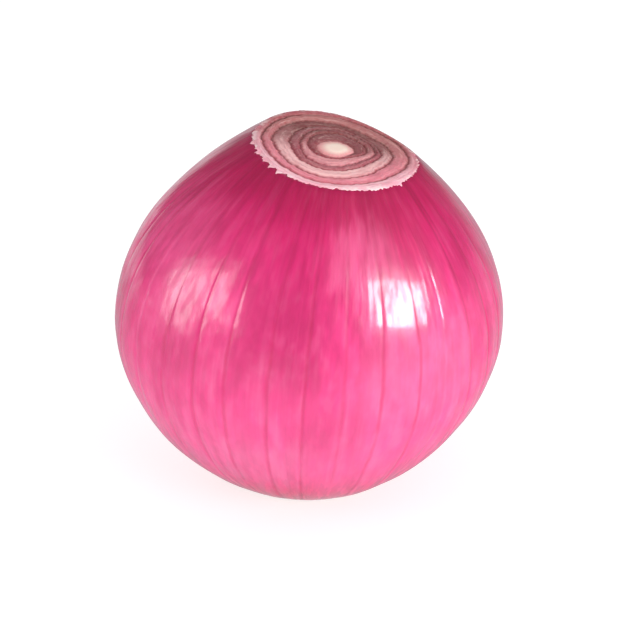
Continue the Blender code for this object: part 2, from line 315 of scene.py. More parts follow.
def closed_sheet(name, grid, low_pole, high_pole, turns, grown):
    """Mesh of a grid of points, closed round each row and fanned to a pole at each end.

    grid is levels by columns by three, rows from the lower end up, columns turning left. The UV map's
    first number is the column's share of a turn, from turns, and its second the level's, from grown.
    """
    levels, columns = grid.shape[:2]
    points = np.concatenate([grid.reshape(-1, 3), [low_pole, high_pole]])
    level, column = np.meshgrid(np.arange(levels - 1), np.arange(columns), indexing="ij")
    following = (column + 1) % columns
    quads = np.stack([level * columns + column, level * columns + following,
                      (level + 1) * columns + following, (level + 1) * columns + column], -1).reshape(-1, 4)
    around = np.arange(columns)
    after = (around + 1) % columns
    top = (levels - 1) * columns
    low_fan = np.stack([after, around, np.full(columns, levels * columns)], -1)
    high_fan = np.stack([top + around, top + after, np.full(columns, levels * columns + 1)], -1)
    mesh = bpy.data.meshes.new(name)
    corners = np.concatenate([quads.ravel(), low_fan.ravel(), high_fan.ravel()])
    sizes = np.concatenate([np.full(len(quads), 4), np.full(2 * columns, 3)])
    mesh.vertices.add(len(points))
    mesh.vertices.foreach_set("co", points.ravel())
    mesh.loops.add(len(corners))
    mesh.loops.foreach_set("vertex_index", corners)
    mesh.polygons.add(len(sizes))
    mesh.polygons.foreach_set("loop_start", np.append(0, np.cumsum(sizes)[:-1]))
    turn = turns[np.stack([column, column + 1, column + 1, column], -1)]
    rise_up = np.stack([grown[level], grown[level], grown[level + 1], grown[level + 1]], -1).reshape(-1, 4)
    low_turn = turns[np.stack([around + 1, around, around], -1)]
    high_turn = turns[np.stack([around, around + 1, around], -1)]
    low_rise = np.full((columns, 3), grown[0])
    high_rise = np.full((columns, 3), grown[-1])
    across = np.concatenate([turn.ravel(), low_turn.ravel(), high_turn.ravel()])
    up = np.concatenate([rise_up.ravel(), low_rise.ravel(), high_rise.ravel()])
    mesh.uv_layers.new(name="grown").data.foreach_set("uv", np.stack([across, up], -1).ravel())
    mesh.update(calc_edges=True)
    mesh.validate()
    mesh.shade_smooth()
    piece = bpy.data.objects.new(name, mesh)
    bpy.context.scene.collection.objects.link(piece)
    return piece


skin_turns = crowded_phase(SKIN_COLUMNS) / VEIN_COUNT
skin_phase = skin_turns[:-1] * VEIN_COUNT
skin_angle = vein_angle(skin_phase)
skin_heights = even_heights(SKIN_FIRST_LEVEL, CUT_HEIGHT - SKIN_TOP_UNDER_CUT, SKIN_LEVELS)
height_grid, phase_grid = np.meshgrid(skin_heights, skin_phase, indexing="ij")
angle_grid = np.broadcast_to(skin_angle, height_grid.shape)
skin_radius = section_radius(height_grid, angle_grid) - skin_relief(phase_grid, angle_grid, height_grid)
skin_points = section_point(height_grid, angle_grid, skin_radius)

# The skin's lower edge is tucked under: a quadratic curve from the first level to the recess
tuck = np.linspace(0.0, 1.0, LIP_LEVELS, endpoint=False)[::-1][:, None] + 1.0 / LIP_LEVELS
crimp = LIP_CRIMP * (np.cos(LIP_CRIMP_TURNS[0] * skin_angle) + np.cos(LIP_CRIMP_TURNS[1] * skin_angle))
bend_weight = 2.0 * tuck * (1.0 - tuck)
first_radius = np.hypot(skin_points[0, :, 0], skin_points[0, :, 1])
lip_radius = (1.0 - tuck) ** 2 * first_radius + bend_weight * (LIP_BEND[0] + crimp)
lip_radius = lip_radius + tuck ** 2 * LIP_INNER[0]
lip_height = (1.0 - tuck) ** 2 * skin_points[0, :, 2] + bend_weight * (LIP_BEND[1] - 0.5 * crimp)
lip_height = lip_height + tuck ** 2 * LIP_INNER[1]
first_angle = np.arctan2(skin_points[0, :, 1], skin_points[0, :, 0])
lip_points = np.stack([lip_radius * np.cos(first_angle), lip_radius * np.sin(first_angle), lip_height], -1)

# The skin's upper edge goes over the rounded edge and a little way in under the torn flesh
edge_share = np.linspace(0.0, 1.0, EDGE_LEVELS)[:, None]
edge_along = EDGE_START * (1.0 - edge_share) + (torn_line(skin_angle) - EDGE_UNDERLAP) * edge_share
edge_angles = np.broadcast_to(skin_angle, edge_along.shape)
wall_level = np.full_like(skin_angle, CUT_HEIGHT - EDGE_WALL)
wall_radius = section_radius(wall_level, skin_angle) - edge_spans(edge_along[-1])[1] - EDGE_WALL
wall_points = section_point(wall_level, skin_angle, wall_radius)
edge_points = np.concatenate([edge_point(edge_along, edge_angles), [wall_points]])

grown_height = np.concatenate([np.zeros(LIP_LEVELS), skin_heights / CUT_HEIGHT, np.ones(EDGE_LEVELS + 1)])
skin_grid = np.concatenate([lip_points, skin_points, edge_points])
hidden_top = axis_frame(np.array(CUT_HEIGHT - HIDDEN_TOP))[0]
skin = closed_sheet("outer_scale", skin_grid, (0.0, 0.0, HIDDEN_FLOOR), hidden_top,
                    skin_turns, grown_height)


class Shade:
    """One output of a shader node. Arithmetic on it adds Math nodes, and node adds any other kind."""

    def __init__(self, tree, output=None):
        self.tree = tree
        self.output = output

    def node(self, kind, settings=(), sockets=(), take=0):
        """Adds a node: its settings first, then the values or links of its sockets. Gives one output."""
        made = self.tree.nodes.new(kind)
        for name, value in dict(settings).items():
            if name == "stops":
                set_stops(made.color_ramp, *value)
            else:
                setattr(made, name, value)
        for name, value in dict(sockets).items():
            if isinstance(value, Shade):
                self.tree.links.new(value.output, made.inputs[name])
            else:
                made.inputs[name].default_value = value
        return Shade(self.tree, made.outputs[take])

    def __radd__(self, other):
        return self if isinstance(other, int) and other == 0 else self + other

    def math(self, operation, *values):
        """Adds a Math node on this output and the values."""
        return self.node("ShaderNodeMath", {"operation": operation}, enumerate((self,) + values))

    def __add__(self, other):
        return self.math("ADD", other)

    def __mul__(self, other):
        return self.math("MULTIPLY", other)

    __rmul__ = __mul__

    def __sub__(self, other):
        return self.math("SUBTRACT", other)

    def __rsub__(self, other):
        return self.math("MULTIPLY_ADD", -1.0, other)

    def __truediv__(self, other):
        return self.math("DIVIDE", other)

    def __rtruediv__(self, other):
        return self.node("ShaderNodeMath", {"operation": "DIVIDE"}, {0: other, 1: self})

    def __pow__(self, other):
        return self.math("POWER", other)

    def ease(self, low, high, start=0.0, end=1.0):
        """Start below low, end above high, and a smooth step between."""
        return self.node("ShaderNodeMapRange", {"interpolation_type": "SMOOTHSTEP"},
                         {"Value": self, "From Min": low, "From Max": high, "To Min": start, "To Max": end})

    def mix(self, first, second):
        """This value's mix of two colours."""
        return self.node("ShaderNodeMix", {"data_type": "RGBA"}, {"Factor": self, 6: first, 7: second}, 2)

    def ramp(self, stops, bend="EASE"):
        """Colour of a ramp at this value, with the kind of bend between its stops."""
        return self.node("ShaderNodeValToRGB", {"stops": (bend, stops)}, {"Fac": self})

    def noise(self, vector, scale, detail=2.0, roughness=0.5):
        """Cloudy noise from nought to one, at a place."""
        return self.node("ShaderNodeTexNoise", {}, {"Vector": vector, "Scale": scale, "Detail": detail,
                                                    "Roughness": roughness})

    def vector(self, x, y, z):
        """A place from three numbers."""
        return self.node("ShaderNodeCombineXYZ", {}, {0: x, 1: y, 2: z})

    def part(self, axis):
        """One number of a place: 0, 1 or 2."""
        return self.node("ShaderNodeSeparateXYZ", {}, {0: self}, axis)


def set_stops(ramp, bend, stops):
    """Puts colour stops on a ramp: each is a place from nought to one and a colour."""
    ramp.interpolation = bend
    while len(ramp.elements) > 1:
        ramp.elements.remove(ramp.elements[-1])
    ramp.elements[0].position = stops[0][0]
    ramp.elements[0].color = stops[0][1]
    for place, colour in stops[1:]:
        ramp.elements.new(place).color = colour


def paint(red, green, blue):
    """Linear colour of a paint mixed by its screen values from 0 to 255."""
    linear = []
    for value in (red / 255.0, green / 255.0, blue / 255.0):
        linear.append(value / 12.92 if value <= 0.04045 else ((value + 0.055) / 1.055) ** 2.4)
    return (*linear, 1.0)


def new_finish(name):
    """A new material: its tree to build with, and its shader."""
    material = bpy.data.materials.new(name)
    material.use_nodes = True
    return material, Shade(material.node_tree), material.node_tree.nodes["Principled BSDF"]


def feed(shader, sockets):
    """Sets or links the shader's sockets."""
    for name, value in sockets.items():
        if isinstance(value, Shade):
            value.tree.links.new(value.output, shader.inputs[name])
        else:
            shader.inputs[name].default_value = value


# Tones by level, which is a height's share of the cut's height
# The dark lowest stop is painted shade where the onion meets the floor, and the pale stops low on the body
# are partly painted bounce light.
SKIN_TONES = ((0.00, paint(176, 26, 46)), (0.08, paint(236, 56, 108)), (0.22, paint(254, 98, 160)),
              (0.42, paint(248, 82, 150)), (0.58, paint(228, 56, 127)), (0.76, paint(230, 53, 129)),
              (0.91, paint(202, 17, 96)), (1.00, paint(163, 8, 68)))
VEIN_TONES = ((0.00, paint(180, 40, 88)), (0.30, paint(216, 52, 112)), (0.60, paint(196, 28, 88)),
              (0.90, paint(140, 14, 58)), (1.00, paint(112, 14, 46)))
PALE_TONE = paint(250, 130, 178)
DARK_TONE = paint(140, 16, 62)
LIP_TONE = paint(196, 120, 104)
VEIN_HALF_WIDTH = 0.62 * MM
VEIN_WAVER = 0.16
WAVER_RISE = 6.0
PATCHY_RISE = 9.0
PALE_VEINS = (4.0, 13.0, 20.0, 27.0)
NECK_SPAN = (0.62, 0.98)
UPPER_SPAN = (0.45, 0.80)
LIP_SPAN = (0.9 * MM, 2.6 * MM)
BROAD_STREAKS = 6.0
BROAD_RISE = 0.5
WIDE_STREAKS = 17.0
FINE_STREAKS = 48.0
STREAK_RISE = 2.2
MOTTLE_SIZE = 26.0
MOTTLE_RISE = 0.8
BLOTCH_SIZE = 13.0
BLOTCH_RISE = 1.0
SKIN_CLOUDS = 60.0
SKIN_BUMP = 0.20 * MM
SKIN_DEPTH = 2.5 * MM
SKIN_GLOW_TINT = (1.0, 0.28, 0.42)
SKIN_SHEEN = 0.35
SHEEN_TINT = (1.0, 0.82, 0.90, 1.0)

# Broad flushes: degrees to the right of the first vein, level, half-widths of both, and strength, which is
# how dark a flush is, or how pale if below nought. Most are the skin's own tone, but the pale one at 36
# degrees is painted light round the right highlight, the dark one at 75 degrees is painted shade, and the
# pale one at -58 degrees is a painted reflection
FLUSHES_AND_PAINTED_LIGHT = ((-8.0, 0.67, 18.0, 0.24, 0.33), (-14.0, 0.27, 20.0, 0.13, -0.34),
           (36.0, 0.57, 30.0, 0.22, -0.36), (75.0, 0.83, 20.0, 0.17, 0.24),
           (-78.0, 0.55, 18.0, 0.24, 0.14), (112.0, 0.45, 26.0, 0.22, -0.30),
           (150.0, 0.66, 24.0, 0.24, 0.30), (188.0, 0.36, 28.0, 0.20, -0.30),
           (228.0, 0.58, 24.0, 0.26, 0.28), (8.0, 0.40, 15.0, 0.15, 0.22),
           (16.0, 0.87, 17.0, 0.10, -0.26), (-58.0, 0.80, 24.0, 0.16, -0.18),
           (270.0, 0.24, 20.0, 0.12, -0.20), (196.0, 0.74, 22.0, 0.16, 0.22))


def skin_finish():
    """Thin magenta skin, wet and clear: deeper to the neck, with dark veins and fine streaks along it."""
    material, tree, shader = new_finish("onion_skin")
    place = tree.node("ShaderNodeUVMap", {"uv_map": "grown"})
    turn = place.part(0)
    level = place.part(1)
    spot = tree.node("ShaderNodeTexCoord", take=3)
    radius = (spot.part(0) ** 2.0 + spot.part(1) ** 2.0) ** 0.5
    phase = turn * float(VEIN_COUNT)
    nearest = phase.math("ROUND")
    number = nearest.math("FLOORED_MODULO", float(VEIN_COUNT))
    chance = tree.node("ShaderNodeTexWhiteNoise", {"noise_dimensions": "1D"}, {"W": number})
    east = (turn * 2.0 * math.pi).math("COSINE")
    north = (turn * 2.0 * math.pi).math("SINE")
    around = tree.vector(east, north, level * STREAK_RISE / WIDE_STREAKS)
    wide = tree.noise(around, WIDE_STREAKS, 2.0)
    fine_around = tree.vector(east, north, level * STREAK_RISE / FINE_STREAKS)
    fine = tree.noise(fine_around, FINE_STREAKS, 3.0, 0.6)
    broad = tree.noise(tree.vector(east, north, level * BROAD_RISE), BROAD_STREAKS, 2.0)
    mottle = tree.noise(tree.vector(east, north, level * MOTTLE_RISE), MOTTLE_SIZE, 2.5)
    patch = tree.noise(tree.vector(east, north, level * BLOTCH_RISE), BLOTCH_SIZE, 2.0)
    cloud = tree.noise(spot, SKIN_CLOUDS, 2.0)
    waver = (tree.noise(tree.vector(number, level * WAVER_RISE, 0.0), 1.0) - 0.5) * VEIN_WAVER
    offset = (phase - nearest + waver).math("ABSOLUTE")
    pitch = radius * (2.0 * math.pi / VEIN_COUNT)
    vein = (offset * pitch / VEIN_HALF_WIDTH).ease(0.1, 1.0, 1.0, 0.0)
    patchy = tree.noise(tree.vector(number, level * PATCHY_RISE, 3.0), 1.0).ease(0.30, 0.62)
    neck = level.ease(*NECK_SPAN)
    upper = level.ease(*UPPER_SPAN)
    crease = sum(number.math("COMPARE", chosen, 0.1) for chosen in PALE_VEINS)
    vein = vein * (chance * 0.55 + 0.45) * (patchy * 0.55 + 0.45) * (1.0 - neck * 0.7)
    colour = (level + (cloud - 0.5) * 0.16).ramp(SKIN_TONES, "B_SPLINE")
    colour = (broad.ease(0.46, 0.70) * (level.ease(0.30, 0.62) * 0.12 + 0.08)).mix(colour, DARK_TONE)
    # Each flush darkens or pales the skin; three of them are painted light, painted shade and a painted
    # reflection
    for side, middle, width, rise, strength in FLUSHES_AND_PAINTED_LIGHT:
        toward = east * math.cos(math.radians(side)) + north * math.sin(math.radians(side))
        across = (toward + (cloud - 0.5) * 0.06).ease(math.cos(math.radians(width)), 1.0)
        along = ((level - middle).math("ABSOLUTE") + (patch - 0.5) * 0.10).ease(0.15 * rise, rise, 1.0, 0.0)
        tone = DARK_TONE if strength > 0.0 else PALE_TONE
        colour = (across * along * abs(strength)).mix(colour, tone)
    streak = wide.ease(0.48, 0.76) * (neck * 0.20 + 0.12)
    colour = streak.mix(colour, DARK_TONE)
    pale = (1.0 - wide).ease(0.50, 0.78) * (0.26 - upper * 0.18 - neck * 0.04)
    colour = pale.mix(colour, PALE_TONE)
    thread = fine.ease(0.48, 0.78) * (neck * 0.10 + 0.06)
    colour = thread.mix(colour, DARK_TONE)
    glint = (1.0 - fine).ease(0.50, 0.80) * (0.08 - upper * 0.05)
    colour = glint.mix(colour, PALE_TONE)
    blotch = patch.ease(0.42, 0.68) * (0.12 + upper * 0.12)
    colour = blotch.mix(colour, DARK_TONE)
    colour = ((1.0 - patch).ease(0.50, 0.72) * (0.14 - neck * 0.10)).mix(colour, PALE_TONE)
    colour = (vein * (1.0 - crease) * 0.60).mix(colour, level.ramp(VEIN_TONES))
    colour = (vein * vein * crease * 0.75).mix(colour, PALE_TONE)
    lip = spot.part(2).ease(*LIP_SPAN, 0.75, 0.0)
    colour = (lip * fine.ease(0.3, 0.6)).mix(colour, LIP_TONE)
    grain = tree.noise(fine_around, FINE_STREAKS * 3.0, 2.0)
    height = patch * 1.2 + mottle * 0.60 + fine * 0.12 + grain * 0.10
    bump = tree.node("ShaderNodeBump", {}, {"Strength": 0.5, "Distance": SKIN_BUMP, "Height": height})
    wet = 0.30 + mottle.ease(0.38, 0.58) * 0.45 + (1.0 - patch).ease(0.40, 0.62) * 0.25
    feed(shader, {"Base Color": colour, "Roughness": 0.40 + vein * 0.10 + (cloud - 0.5) * 0.12,
                  "Normal": bump, "Specular IOR Level": 0.3, "Subsurface Weight": 0.18,
                  "Subsurface Scale": SKIN_DEPTH, "Subsurface Radius": SKIN_GLOW_TINT,
                  "Coat Weight": wet, "Coat Roughness": 0.12, "Coat IOR": 1.65,
                  "Sheen Weight": SKIN_SHEEN, "Sheen Roughness": 0.25, "Sheen Tint": SHEEN_TINT})
    return material


skin.data.materials.append(skin_finish())
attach(skin, "root")
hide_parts("bulb")


# Cut face
# The neck sliced straight across: the pale cut edges of the scales, one inside the other round the
# heart, each with its thin dark skin outside. The knife tore the outer skin, so flesh shows in teeth.
RIM_PROUD = 0.05 * MM
RIM_SUNK = 0.30 * MM
RIM_WIDTH = 0.9 * MM
RIM_LEVELS = 13
# Each line between two scales, from the rim in: its mean share of the radius, and its waves
RINGS = ((0.868, ((1, -0.006, 0.030), (2, 0.005, 0.006), (3, -0.006, 0.021))),
         (0.715, ((1, -0.048, 0.022), (2, -0.004, 0.006), (3, 0.000, 0.025))),
         (0.546, ((1, -0.027, 0.039), (2, -0.010, 0.021), (3, 0.007, 0.016))),
         (0.454, ((1, -0.005, 0.048), (2, -0.011, 0.035), (3, 0.008, 0.010))),
         (0.330, ((1, -0.008, 0.092), (2, 0.008, 0.027), (3, 0.001, 0.007))),
         (0.215, ((1, -0.022, 0.021), (2, 0.008, 0.014), (3, -0.005, 0.007))))
RING_GROOVE_WIDTH = 0.32 * MM
RING_GROOVE_DEPTH = 0.24 * MM
CROWN = 0.16 * MM
FACE_DOME = 0.60 * MM
HEART_LIFT = 0.30 * MM
HEART_OFFSET = (0.7 * MM, -0.7 * MM)
RIPPLE_TURNS = (5, 8, 13, 21, 34, 55)
RIPPLE_SIZE = 0.010
RIPPLE_TWIST = 4.0
SUNK_RING = 4.5
SUNK_RING_WIDTH = 0.75
SUNK_DEPTH = 0.35 * MM
FACE_COLUMNS = 720
FACE_LEVELS = 120

tear = np.random.default_rng(SEED + 2)
RIPPLE_PHASES = tear.uniform(0.0, 2.0 * math.pi, len(RIPPLE_TURNS))
RIPPLE_TWISTS = tear.uniform(-RIPPLE_TWIST, RIPPLE_TWIST, len(RIPPLE_TURNS))


def rippled(share, angle):
    """Share of the radius with a ripple that is nought at the heart and the rim, and turns as it goes in."""
    ripple = np.zeros_like(share)
    for turns, phase, twist in zip(RIPPLE_TURNS, RIPPLE_PHASES, RIPPLE_TWISTS):
        ripple = ripple + np.cos(turns * angle + phase + twist * share)
    return share + RIPPLE_SIZE * share * np.sqrt(np.clip(1.0 - share, 0.0, 1.0)) * ripple


def ring_lines(angle):
    """Share of the radius of each line between two scales, from the rim to the heart."""
    lines = [np.ones_like(angle)]
    for mean, waves in RINGS:
        lines.append(mean + wave_sum(waves, angle))
    return lines + [np.zeros_like(angle)]


def ring_number(share, angle):
    """Nought at the heart's centre, one at its edge, and one more at each line out to the rim."""
    lines = ring_lines(angle)
    total = np.zeros_like(share)
    for outer, inner in zip(lines, lines[1:]):
        total = total + np.clip((share - inner) / (outer - inner), 0.0, 1.0)
    return total


def line_distance(share, angle, radius):
    """Distance to the nearest line between two scales."""
    nearest = np.full_like(share, 1.0)
    for line in ring_lines(angle)[1:-1]:
        nearest = np.minimum(nearest, np.abs(share - line) * radius)
    return nearest


def face_lift(share, angle, radius):
    """Height over the cut plane.

    A low dome, a bell-shaped groove at each line, a crown on each scale, a raised heart, and a sunk
    scale on the far side.
    """
    warped = rippled(share, angle)
    ring = ring_number(warped, angle)
    edge = smooth(1.0, 0.93, share)
    groove = RING_GROOVE_DEPTH * hump(line_distance(warped, angle, radius), RING_GROOVE_WIDTH)
    crown = CROWN * np.sin(math.pi * (ring - np.floor(ring))) ** 0.8 * smooth(1.0, 2.0, ring)
    heart = HEART_LIFT * (1.0 - smooth(0.3, 1.0, ring))
    sunk = SUNK_DEPTH * smooth(-0.2, 0.9, np.sin(angle)) * hump(ring - SUNK_RING, SUNK_RING_WIDTH)
    return FACE_DOME * (1.0 - share ** 2) + edge * (crown - groove) + heart - sunk


# Rows go along the rounded edge from the tear, and then in over the cut to the heart
face_angle = np.arange(FACE_COLUMNS) * 2.0 * math.pi / FACE_COLUMNS
rim_radius = section_radius(np.full(FACE_COLUMNS, CUT_HEIGHT), face_angle)
torn = torn_line(face_angle)
flat_along = np.minimum(torn, 0.0) - RIM_WIDTH
rim_step = np.linspace(0.0, 1.0, RIM_LEVELS)[:, None]
rim_along = torn * (1.0 - rim_step) + flat_along * rim_step
rim_proud = RIM_PROUD * smooth(0.0, 0.3, rim_step) * smooth(1.0, 0.4, rim_step)
flat_share = 1.0 - edge_spans(flat_along)[1] / rim_radius
inner_share = np.linspace(1.0, 0.0, FACE_LEVELS + 1)[1:-1, None] * flat_share
share_grid = np.concatenate([1.0 - edge_spans(rim_along)[1] / rim_radius, inner_share])
face_angles = np.broadcast_to(face_angle, share_grid.shape)
face_lifts = face_lift(share_grid, face_angles, rim_radius)
rim_rows = edge_point(rim_along, face_angles[:RIM_LEVELS], rim_proud, face_lifts[:RIM_LEVELS])
inner_rows = section_point(np.full_like(inner_share, CUT_HEIGHT), face_angles[RIM_LEVELS:],
                           rim_radius * inner_share, face_lifts[RIM_LEVELS:])
cut_centre, face_across, face_along, face_axis = axis_frame(np.array(CUT_HEIGHT))
heart_shift = HEART_OFFSET[0] * face_across + HEART_OFFSET[1] * face_along
face_rows = np.concatenate([rim_rows, inner_rows]) + (1.0 - share_grid)[..., None] * heart_shift
heart_top = cut_centre + heart_shift + (FACE_DOME + HEART_LIFT) * face_axis
sunk_edge = edge_point(torn, face_angle, -RIM_SUNK)
face_turns = np.linspace(0.0, 1.0, FACE_COLUMNS + 1)
face_grown = np.append(1.1, np.linspace(1.0, 0.0, len(face_rows), endpoint=False))
face_grid = np.concatenate([[sunk_edge], face_rows])
face = closed_sheet("cut_face", face_grid, hidden_top, heart_top, face_turns, face_grown)


def add_numbers(piece, name, numbers):
    """Puts one number a vertex on a piece."""
    piece.data.attributes.new(name, "FLOAT", "POINT").data.foreach_set("value", numbers.ravel())


# Each vertex carries its ring number and, in millimetres, its gap to the nearest line. The sunk edge
# comes first, and the two poles last
SCALES = len(RINGS) + 1
NO_LINE = 2.0
warped_share = rippled(share_grid, face_angles)
rings = ring_number(warped_share, face_angles).ravel()
gaps = line_distance(warped_share, face_angles, rim_radius).ravel() / MM
add_numbers(face, "ring", np.concatenate([np.full(FACE_COLUMNS, float(SCALES)), rings, [SCALES, 0.0]]))
add_numbers(face, "gap", np.concatenate([np.full(FACE_COLUMNS, NO_LINE), gaps, [NO_LINE, NO_LINE]]))

# One tone a scale from the heart out, at the front and on the far side, where the darker tones are painted
# shade
NEAR_TONES = (paint(255, 228, 216), paint(138, 56, 66), paint(232, 154, 162), paint(166, 84, 98),
              paint(248, 190, 192), paint(240, 140, 158), paint(255, 188, 202))
FAR_TONES = (paint(255, 228, 212), paint(130, 64, 70), paint(118, 54, 56), paint(142, 84, 90),
             paint(120, 53, 54), paint(182, 112, 112), paint(178, 86, 96))
HEART_EDGE_TONE = paint(228, 150, 154)
LINE_TONE = paint(160, 58, 76)
FAR_LINE_TONE = paint(126, 62, 60)
STAIN_TONE = paint(168, 88, 98)
LAYER_TONE = paint(255, 214, 206)
RIM_HIGHLIGHT_TONE = paint(255, 226, 226)
RIM_PINK_TONE = paint(250, 150, 176)
FIBRE_TONE = paint(255, 226, 218)
FAR_WAY = (0.12, 0.99)
FAR_SPAN = (-8.0 * MM, 9.0 * MM)
FAR_WANDER = 11.0 * MM
LAYER_SIZE = 2.6
LAYER_RISE = 2.4
FLESH_CLOUDS = 180.0
FLESH_BLOTS = 420.0
FLESH_FIBRES = 1500.0
FLESH_BUMP = 0.12 * MM
FLESH_DEPTH = 1.2 * MM
FLESH_GLOW_TINT = (1.0, 0.5, 0.45)


def flesh_finish():
    """Moist cut flesh: one tone a scale, paler at the front and darker on the far side as painted shade,
    with dark lines of skin between the scales.
    """
    material, tree, shader = new_finish("cut_flesh")
    ring = tree.node("ShaderNodeAttribute", {"attribute_name": "ring"}, take=2)
    gap = tree.node("ShaderNodeAttribute", {"attribute_name": "gap"}, take=2)
    spot = tree.node("ShaderNodeTexCoord", take=3)
    cloud = tree.noise(spot, FLESH_CLOUDS, 3.0, 0.6)
    blot = tree.noise(spot, FLESH_BLOTS, 2.0)
    fibre = tree.noise(spot, FLESH_FIBRES, 3.0, 0.65)
    turn = tree.node("ShaderNodeUVMap", {"uv_map": "grown"}).part(0) * 2.0 * math.pi
    layer_place = tree.vector(turn.math("COSINE"), turn.math("SINE"), ring * LAYER_RISE)
    layers = tree.noise(layer_place, LAYER_SIZE, 3.0, 0.6)
    near_stops = [(0.40 / SCALES, NEAR_TONES[0]), (0.95 / SCALES, HEART_EDGE_TONE)]
    far_stops = [(0.40 / SCALES, FAR_TONES[0]), (0.95 / SCALES, HEART_EDGE_TONE)]
    for index in range(1, SCALES):
        for part in (0.15, 0.85):
            near_stops.append(((index + part) / SCALES, NEAR_TONES[index]))
            far_stops.append(((index + part) / SCALES, FAR_TONES[index]))
    shifted = (ring + (cloud - 0.5) * 0.30 * ring.ease(0.8, 1.2)) / SCALES
    # Towards the far side the flesh takes the darker far tones and line tone, which is painted shade
    back = spot.part(0) * FAR_WAY[0] + spot.part(1) * FAR_WAY[1]
    far = (back + (cloud - 0.5) * FAR_WANDER).ease(*FAR_SPAN)
    colour = far.mix(shifted.ramp(near_stops), shifted.ramp(far_stops))
    outer = ring.ease(1.0, 1.3)
    colour = (layers.ease(0.44, 0.66) * 0.42 * outer).mix(colour, STAIN_TONE)
    colour = (layers.ease(0.50, 0.30) * 0.30 * outer).mix(colour, LAYER_TONE)
    line_tone = far.mix(LINE_TONE, FAR_LINE_TONE)
    # A soft darker band either side of each line: partly the skin's tone spreading from the line, partly
    # painted shade along its groove
    colour = (gap.ease(0.05, 0.9, 0.36, 0.0) * ring.ease(0.9, 1.3)).mix(colour, line_tone)
    line = (gap + (blot - 0.5) * 0.34).ease(0.0, 0.46, 1.0, 0.0) * ring.ease(0.85, 1.1)
    colour = (line * (0.50 + cloud * 0.6)).mix(colour, line_tone)
    rim = ring.ease(SCALES - 0.7, SCALES - 0.2)
    # Pale touches on the torn rim are painted highlights; the pink touches are the rim's own tone
    colour = (blot.ease(0.48, 0.62) * rim * 0.55).mix(colour, RIM_HIGHLIGHT_TONE)
    colour = (blot.ease(0.50, 0.36) * rim * 0.40).mix(colour, RIM_PINK_TONE)
    colour = (fibre.ease(0.3, 0.7) * 0.10).mix(colour, FIBRE_TONE)
    height = fibre * 0.5 + blot * 0.8
    bump = tree.node("ShaderNodeBump", {}, {"Strength": 0.5, "Distance": FLESH_BUMP, "Height": height})
    feed(shader, {"Base Color": colour, "Roughness": 0.50 + (blot - 0.5) * 0.2, "Normal": bump,
                  "Specular IOR Level": 0.3, "Subsurface Weight": 0.22, "Subsurface Scale": FLESH_DEPTH,
                  "Subsurface Radius": FLESH_GLOW_TINT, "Coat Weight": 0.05, "Coat Roughness": 0.25})
    return material


face.data.materials.append(flesh_finish())
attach(face, "root")
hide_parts("bulb")


# Root plate
# The short dry stem at the bottom, shaved flat, which every scale and root grows from. The onion
# stands on it. Round it the tucked edge of the outer scale leaves a shallow corky recess.
FOOT_RADIUS = 6.2 * MM
PLATE_RADIUS = 6.8 * MM
PLATE_EDGE_HEIGHT = 0.30 * MM
RECESS_HEIGHT = 1.35 * MM
RECESS_RADIUS = 10.2 * MM
PLATE_TOP = 3.0 * MM
PLATE_COLUMNS = 240
FOOT_LEVELS = 40
RECESS_LEVELS = 18
PIT_DEPTH = 0.16 * MM
PIT_RINGS = 9
PIT_TURNS = 22
PIT_TWIST = 9.0
CORK_DEPTH = 0.14 * MM
CORK_TURNS = (29, 47, 71)
CORK_RIPPLES = 11.0
CORK_SLIP = 3.0
RECESS_RISE = 0.35 * MM
# Radius and height of the plate's side, from the foot's edge up to the recess
PLATE_SIDE = ((PLATE_RADIUS - 0.15 * MM, 0.12 * MM), (PLATE_RADIUS, PLATE_EDGE_HEIGHT),
              (PLATE_RADIUS, 0.8 * MM), (PLATE_RADIUS + 0.1 * MM, 1.15 * MM),
              (PLATE_RADIUS + 0.4 * MM, RECESS_HEIGHT))
PLATE_TONES = (paint(206, 182, 148), paint(124, 92, 68))
ROOT_FIBRE_TONE = paint(226, 210, 184)
CORK_BLOTS = 700.0
CORK_FIBRES = 2600.0
CORK_BUMP = 0.15 * MM

plate_angle = np.arange(PLATE_COLUMNS) * 2.0 * math.pi / PLATE_COLUMNS
foot_share = np.linspace(0.0, 1.0, FOOT_LEVELS + 1)[1:, None]
pit_rings = np.sin(foot_share * PIT_RINGS * math.pi) ** 2
pits = pit_rings * np.cos(plate_angle * PIT_TURNS + PIT_TWIST * foot_share) ** 2
foot_height = PIT_DEPTH * pits * smooth(1.0, 0.8, foot_share)
foot_radius = np.broadcast_to(foot_share * FOOT_RADIUS, foot_height.shape)
cork = sum(np.cos(turns * plate_angle + turns) for turns in CORK_TURNS) / len(CORK_TURNS)
side_radius = np.array(PLATE_SIDE)[:, :1] + CORK_DEPTH * cork
side_height = np.broadcast_to(np.array(PLATE_SIDE)[:, 1:], side_radius.shape)
recess_share = np.linspace(0.0, 1.0, RECESS_LEVELS + 1)[1:, None]
recess_start = PLATE_SIDE[-1][0]
recess_radius = recess_start + (RECESS_RADIUS - recess_start) * recess_share + CORK_DEPTH * cork
recess_ripple = CORK_DEPTH * np.cos(recess_share * CORK_RIPPLES + CORK_SLIP * cork)
recess_height = RECESS_HEIGHT + recess_ripple + RECESS_RISE * recess_share ** 4
plate_radius = np.concatenate([foot_radius, side_radius, recess_radius])
plate_height = np.concatenate([foot_height, side_height, recess_height])
plate_grid = np.stack([plate_radius * np.cos(plate_angle), plate_radius * np.sin(plate_angle),
                       plate_height], -1)
plate_turns = np.linspace(0.0, 1.0, PLATE_COLUMNS + 1)
plate_grown = np.linspace(0.0, 1.0, len(plate_grid))
plate = closed_sheet("root_plate", plate_grid, (0.0, 0.0, 0.0), (0.0, 0.0, PLATE_TOP),
                     plate_turns, plate_grown)


